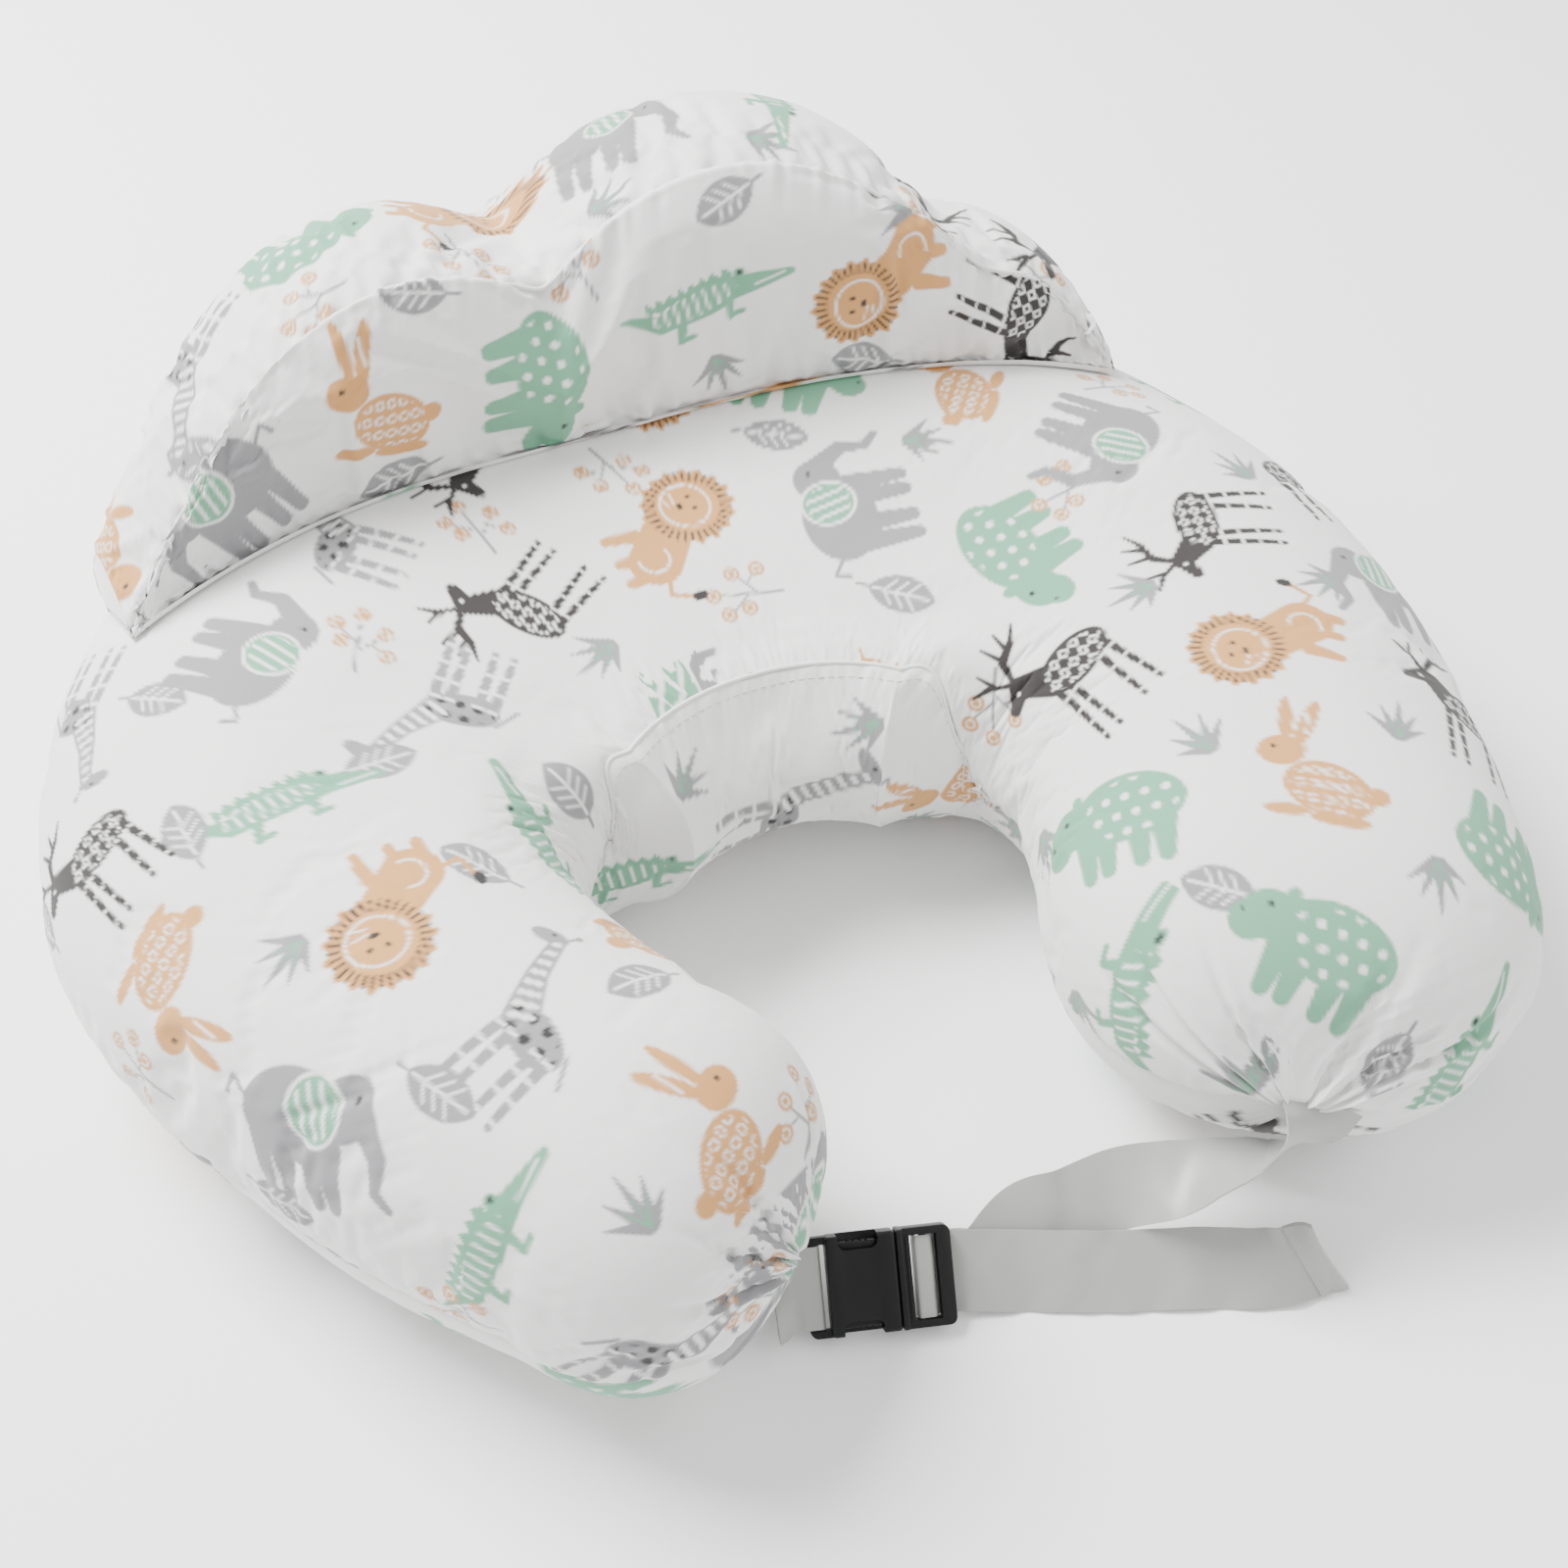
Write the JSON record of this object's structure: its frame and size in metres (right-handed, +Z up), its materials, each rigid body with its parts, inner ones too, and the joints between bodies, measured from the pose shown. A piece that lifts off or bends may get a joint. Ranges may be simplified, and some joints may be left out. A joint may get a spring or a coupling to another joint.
{
  "type": "nursing pillow",
  "caption": "U-shaped stuffed nursing pillow in printed cotton, with a raised cloud-outlined head guard and a ribbon waist strap with a side-release buckle.",
  "frame": {"origin": "centre of the bounding box's base, on the surface the pillow lies on", "axes": "+X across the pillow, from the arm with the buckle to the other arm; +Y from the open end of the U to the back, where the head guard is; +Z up"},
  "size_m": [0.6398, 0.6188, 0.2753],
  "materials": {
    "print_cotton": "woven cotton, printed in grey, mint, sand and charcoal",
    "inner_bag": "plain woven lining",
    "filling": "loose polyester fibre",
    "ribbon": "satin ribbon",
    "plastic": "moulded, fine texture",
    "zip_tape": "knitted tape",
    "zip_coil": "nylon coil",
    "zip_metal": "die-cast, tumbled"
  },
  "bodies": {
    "cushion": {"cushion_cover_top": "print_cotton", "cushion_cover_bottom": "print_cotton", "cushion_inner_gusset": "print_cotton", "cushion_inner_bag_upper": "inner_bag", "cushion_inner_bag_lower": "inner_bag", "cushion_filling": "filling", "strap_short": "ribbon", "strap_long": "ribbon", "strap_fold": "ribbon", "buckle_socket": "plastic"},
    "guard": {"guard_cover_front": "print_cotton", "guard_gusset": "print_cotton", "guard_cover_back": "print_cotton", "guard_cover_base": "print_cotton", "guard_end_panel_left": "print_cotton", "guard_end_panel_right": "print_cotton", "guard_inner_bag_front": "inner_bag", "guard_inner_bag_back": "inner_bag", "guard_filling": "filling", "zip_tape_upper": "zip_tape", "zip_tape_lower": "zip_tape", "zip_teeth": "zip_coil"},
    "slider": {"zip_slider": "zip_metal"},
    "pull": {"zip_pull": "zip_metal"},
    "plug": {"buckle_plug": "plastic", "strap_tail": "ribbon", "strap_tail_hem": "ribbon"},
    "prong_upper": {"buckle_prong_upper": "plastic"},
    "prong_lower": {"buckle_prong_lower": "plastic"}
  },
  "joints": [
    {"name": "guard_tilt", "type": "hinge", "parent": "cushion", "child": "guard", "pos_m": [-0.00309, 0.30296, 0.1038], "axis": [-1, 0, 0], "range_deg": [0, 30], "stiffness_Nm_per_rad": 0.5},
    {"name": "zip_slide", "type": "slide", "parent": "guard", "child": "slider", "axis": [-1, 0, 0], "range_m": [0, 0.105]},
    {"name": "zip_pull_swing", "type": "hinge", "parent": "slider", "child": "pull", "pos_m": [0.04591, 0.30886, 0.1498], "axis": [0, 0, -1], "range_deg": [0, 165]},
    {"name": "buckle_release", "type": "slide", "parent": "cushion", "child": "plug", "axis": [0.9617, -0.274, 0], "range_m": [0, 0.045], "deforming": ["strap_long"]},
    {"name": "prong_squeeze_upper", "type": "hinge", "parent": "plug", "child": "prong_upper", "pos_m": [-0.03824, -0.22192, 0.02818], "axis": [-0.1761, -0.6182, 0.766], "range_deg": [0, 6], "stiffness_Nm_per_rad": 0.3},
    {"name": "prong_squeeze_lower", "type": "hinge", "parent": "plug", "child": "prong_lower", "pos_m": [-0.04495, -0.24549, 0.00761], "axis": [-0.1761, -0.6182, 0.766], "range_deg": [-6, 0], "stiffness_Nm_per_rad": 0.3}
  ]
}
